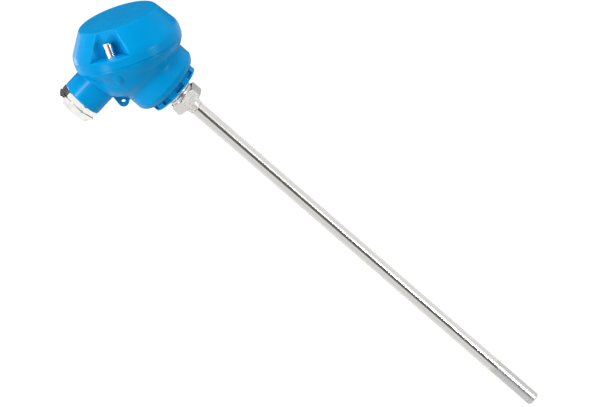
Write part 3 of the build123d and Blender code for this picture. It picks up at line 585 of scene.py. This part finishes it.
# %% [markdown]
# As the insert lifts, its flange pushes the springs together against the screw heads.
# A solid can't shorten. The two springs stand for the solid pair, which is hidden, and each
# gets a mesh of its own.

# %% Springs in place of the solid pair
low_corner, high_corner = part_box("insert_springs")
spring_outer = high_corner.y
spring_side = high_corner.x - spring_outer
points, faces = spring_points(spring_outer / MM - SPRING_WIRE / 2, low_corner.z / MM, high_corner.z / MM)
for name, side in (("left_insert_spring", -spring_side), ("right_insert_spring", spring_side)):
    moved = [p * MM + Vector((side, 0, 0)) for p in points]
    spring = add_piece(name, moved, faces, wire_steel, "head")
    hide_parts("insert_springs")
    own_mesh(spring)

# %% [markdown]
# ## The camera
#
# The photograph looks at the head from the side of the lid screw, a little round
# towards the low side of the lid, and a little from above. The picture is turned so
# that the stem runs to the lower right. A long lens from ten metres away keeps the
# lines nearly parallel, as they are in the photograph.

# %% Directions of the view
VIEW_AZIMUTH = math.radians(10.0)
VIEW_ELEVATION = math.radians(13.3)
VIEW_ROLL = math.radians(49.1)


def between(low, high, turn):
    """Unit direction that is turned by an angle from one direction towards another."""
    return low * math.cos(turn) + high * math.sin(turn)


level_right = Vector((math.cos(VIEW_AZIMUTH), math.sin(VIEW_AZIMUTH), 0))
level_front = Vector((math.sin(VIEW_AZIMUTH), -math.cos(VIEW_AZIMUTH), 0))
to_camera = between(level_front, Vector((0, 0, 1)), VIEW_ELEVATION)
level_up = to_camera.cross(level_right)
picture_right = between(level_right, -level_up, VIEW_ROLL)
picture_up = between(level_up, level_right, VIEW_ROLL)
print("towards the camera:", [round(c, 3) for c in to_camera])

# %% [markdown]
# The hexagon's middle is easy to find in the photograph, so the camera is placed by it:
# it stands where that point falls on the same pixel of the picture, at the same scale.

# %% Camera at the photograph's angle
PICTURE_WIDTH, PICTURE_HEIGHT = 600, 407
PIXELS_PER_MM = 1.255
HEX_MIDDLE_ACROSS, HEX_MIDDLE_DOWN = 185.9, 98.2
HEX_MIDDLE = Vector((0, 0, 11 * MM))
VIEW_DISTANCE = 10.0
SENSOR_WIDTH = 36.0

across = (PICTURE_WIDTH / 2 - HEX_MIDDLE_ACROSS) / PIXELS_PER_MM * MM
down = (PICTURE_HEIGHT / 2 - HEX_MIDDLE_DOWN) / PIXELS_PER_MM * MM
view_centre = HEX_MIDDLE + picture_right * across - picture_up * down

camera_data = bpy.data.cameras.new("camera")
camera_data.sensor_width = SENSOR_WIDTH
camera_data.lens = SENSOR_WIDTH * VIEW_DISTANCE / (PICTURE_WIDTH / PIXELS_PER_MM * MM)
camera = bpy.data.objects.new("camera", camera_data)
axes = Matrix((picture_right, picture_up, to_camera)).transposed().to_4x4()
camera.matrix_world = Matrix.Translation(view_centre + to_camera * VIEW_DISTANCE) @ axes
bpy.context.scene.collection.objects.link(camera)
bpy.context.scene.camera = camera
print("lens:", round(camera_data.lens, 1), "mm from", VIEW_DISTANCE, "m")

# %% [markdown]
# ## Floor and surroundings
#
# The sensor hangs over a wide, pale, matt floor, with pale surroundings all round it.
# The photograph's background is white, and bright metal shows nothing but what it
# mirrors. So the camera and the mirrors see white surroundings and a nearly white
# floor, while both give little light of their own, which leaves the shape of the head
# to be drawn by the lamps. The light path node tells one kind of ray from another.


# %% What the camera and the mirrors see
def seen_directly(tree, kinds):
    """1 for light rays of the given kinds and 0 for all others."""
    rays = add_node(tree, "LightPath", {}, {})
    value = rays.outputs[kinds[0]]
    for kind in kinds[1:]:
        value = add_node(tree, "Math", {"operation": "MAXIMUM"}, {0: value, 1: rays.outputs[kind]})
    return value


# %% [markdown]
# The floor is painted light grey, and matt, so that it mirrors nothing. A white glow
# that only the camera and the mirrors see lifts it to nearly white. The paint under the
# glow still takes the lamps' light, so the object's shadow stays.

# %% Pale floor
FLOOR_LEVEL = -1.5
FLOOR_SIZE = 80
FLOOR_SHADES, SPECKLE_SIZE = ("A8A8A8", "ACACAC"), 3
FLOOR_LIFT = 0.68


def pale_floor_paint():
    """Matt paint with a faint speckle, which keeps the object's soft shadow."""
    material, tree, shader = new_finish("pale_matt_floor_paint")
    seen = seen_directly(tree, ["Is Camera Ray", "Is Glossy Ray"])
    look = {
        "Base Color": mottled(tree, grain(tree, [SPECKLE_SIZE] * 3), FLOOR_SHADES),
        "Roughness": 0.9,
        "Emission Color": srgb("FFFFFF"),
        "Emission Strength": add_node(tree, "Math", {"operation": "MULTIPLY"}, {0: seen, 1: FLOOR_LIFT}),
    }
    feed(tree, shader, look)
    return material


bpy.ops.mesh.primitive_plane_add(size=FLOOR_SIZE, location=(0, 0, FLOOR_LEVEL))
floor = bpy.context.object
floor.name = "floor"
floor.data.materials.append(pale_floor_paint())
print("floor at", FLOOR_LEVEL, "m")

# %% [markdown]
# The surroundings are one even white, at full strength for rays that come straight from
# the camera or off a mirror. For all other rays they shine at about a sixteenth of that,
# just enough to keep the hollows of the casting from going black.

# %% White surroundings
SURROUNDING_LIGHT = 0.06

world = bpy.data.worlds.new("white_studio")
bpy.context.scene.world = world
world.use_nodes = True
walls = world.node_tree
seen = seen_directly(walls, ["Is Camera Ray", "Is Glossy Ray", "Is Transmission Ray"])
strength = add_node(walls, "MapRange", {}, {"Value": seen, "To Min": SURROUNDING_LIGHT, "To Max": 1.0})
feed(walls, walls.nodes["Background"], {"Color": srgb("FFFFFF"), "Strength": strength})
print("light from the surroundings:", SURROUNDING_LIGHT)

# %% [markdown]
# ## Lamps
#
# A studio lights such a part with a few soft boxes. Their places are easiest to think
# of in the picture, as so much to the right, so much up and so much towards the camera.
# No lamp shows to the camera itself, because some views from other sides look past one.


# %% Place a lamp
HEAD_MIDDLE = Vector((0, 0, 0.065))


def picture_direction(right, up, front):
    """Unit direction given along the picture's right, its up and towards the camera."""
    return (picture_right * right + picture_up * up + to_camera * front).normalized()


def facing(direction):
    """Rotation that turns an object's -Z axis away from the direction."""
    return direction.to_track_quat("Z", "Y")


def place_lamp(name, kind, direction, distance, **settings):
    """A lamp in that direction from the head, aimed at it."""
    data = bpy.data.lights.new(name, kind)
    for key, value in settings.items():
        setattr(data, key, value)
    lamp = bpy.data.objects.new(name, data)
    lamp.location = HEAD_MIDDLE + direction * distance
    lamp.rotation_mode = "QUATERNION"
    lamp.rotation_quaternion = facing(direction)
    lamp.visible_camera = False
    bpy.context.scene.collection.objects.link(lamp)
    return lamp


# %% [markdown]
# Two broad lamps give the plain level of light: one from the left, on the gland's side,
# and a stronger one from the picture's top. Both are distant lamps, forty degrees wide,
# so that they light the whole stem evenly and throw soft shadows. They are hidden from
# reflections, where they would lay wide white patches over the bright metal.

# %% Broad soft lamps
SOFT_WIDTH = math.radians(40)
SOFT_DISTANCE = 2.0

soft_lamps = {
    "left_soft_lamp": (picture_direction(-0.95, -0.20, 0.25), 0.53),
    "top_soft_lamp": (picture_direction(0.0, 0.92, 0.38), 0.67),
}
for name, (direction, level) in soft_lamps.items():
    lamp = place_lamp(name, "SUN", direction, SOFT_DISTANCE, energy=level * math.pi, angle=SOFT_WIDTH)
    lamp.visible_glossy = False
print("soft lamps:", list(soft_lamps))

# %% [markdown]
# Small lit panels make the highlights that show how round each form is: on the right
# of the lid, along the cable boss, on the lower left of the lid's band, and from behind
# along the head's left edge. The last one brightens the streak on the boss alone: it is
# seen in reflections and gives no light, so the boss doesn't get paler round the streak.

# %% Panels for the highlights
PANEL_DISTANCE = 1.4


def place_panel(name, direction, width, height, radiance):
    """A flat lit panel that faces the head, as bright as the radiance."""
    power = math.pi * radiance * width * height
    size = {"shape": "RECTANGLE", "size": width, "size_y": height}
    return place_lamp(name, "AREA", direction, PANEL_DISTANCE, energy=power, **size)


panels = {
    "right_panel": (picture_direction(0.80, -0.04, 0.60), 0.15, 0.18, 74.0),
    "boss_panel": (picture_direction(-0.64, 0.19, 0.74), 0.17, 0.16, 78.0),
    "band_panel": (picture_direction(-0.63, -0.67, 0.40), 0.26, 0.23, 27.0),
    "edge_panel": (picture_direction(-0.62, -0.05, -0.78), 0.38, 0.38, 4.3),
    "boss_streak_panel": (picture_direction(-0.60, 0.18, 0.78), 0.20, 0.20, 110.0),
}
lit_panels = {name: place_panel(name, *place) for name, place in panels.items()}
lit_panels["boss_streak_panel"].visible_diffuse = False
print("panels:", list(lit_panels))

# %% [markdown]
# ## Cards that the metal mirrors
#
# A polished tube between white walls looks like a flat white strip. Photographers set
# cards round it: each one shows in the tube as a stripe, and the stripes make it round.
# These cards glow with the grey that should show, and only mirrors see them, so that
# they neither shade the object nor hide it.


# %% Place a card
def place_card(name, code, middle, direction, distance, width, height):
    """A card that faces the middle from that direction and shows its colour only in mirrors."""
    bpy.ops.mesh.primitive_plane_add(size=1)
    card = bpy.context.object
    card.name = name
    card.scale = (width, height, 1)
    card.location = middle + direction * distance
    card.rotation_mode = "QUATERNION"
    card.rotation_quaternion = facing(direction)
    material, tree, shader = new_finish(name + "_paper")
    glow = {"Base Color": srgb("000000"), "Emission Color": srgb(code), "Emission Strength": 1.0}
    feed(tree, shader, glow)
    card.data.materials.append(material)
    card.visible_camera = False
    card.visible_diffuse = False
    card.visible_shadow = False
    return card


# %% [markdown]
# The stem mirrors only what lies a little below its own level, so four cards stand low
# round it. The dark one in front gives the dark line down its middle, and its twin does
# the same for the back. The pale ones at the sides give the light grey flanks, and the
# white surroundings show between them as the bright lines.

# %% Cards round the stem
STEM_MIDDLE = Vector((0, 0, -0.26))
CARD_DISTANCE = 0.60
CARD_HEIGHT = 0.62

front_side = between(level_front, level_right, math.radians(2))
gland_side = between(level_front, -level_right, math.radians(62))
right_side = between(level_front, level_right, math.radians(82))
stem_cards = {
    "dark_card": ("5A5A5A", front_side, 0.49),
    "rear_dark_card": ("5A5A5A", -front_side, 0.49),
    "left_card": ("F1F1F1", gland_side, 1.02),
    "right_card": ("FAFAFA", right_side, 0.56),
}
for name, (code, direction, width) in stem_cards.items():
    place_card(name, code, STEM_MIDDLE, direction, CARD_DISTANCE, width, CARD_HEIGHT)
print("cards round the stem:", list(stem_cards))

# %% [markdown]
# Behind and above the head hangs a large dark flag. The upper facets of the gland's
# hexagon mirror it, and they turn as dark as they are in the photograph.

# %% Dark flag behind the head
FLAG_MIDDLE = Vector((0, 0, 0.60))
FLAG_DISTANCE = 1.5

flag_side = between(-level_front, level_right, math.radians(25))
dark_flag = place_card("dark_flag", "2E2E2E", FLAG_MIDDLE, flag_side, FLAG_DISTANCE, 1.87, 1.86)
print("flag:", dark_flag.name)

# %% [markdown]
# ## The view transform
#
# The render uses the plain Standard view transform.

# %% Standard view transform
bpy.context.scene.view_settings.view_transform = "Standard"
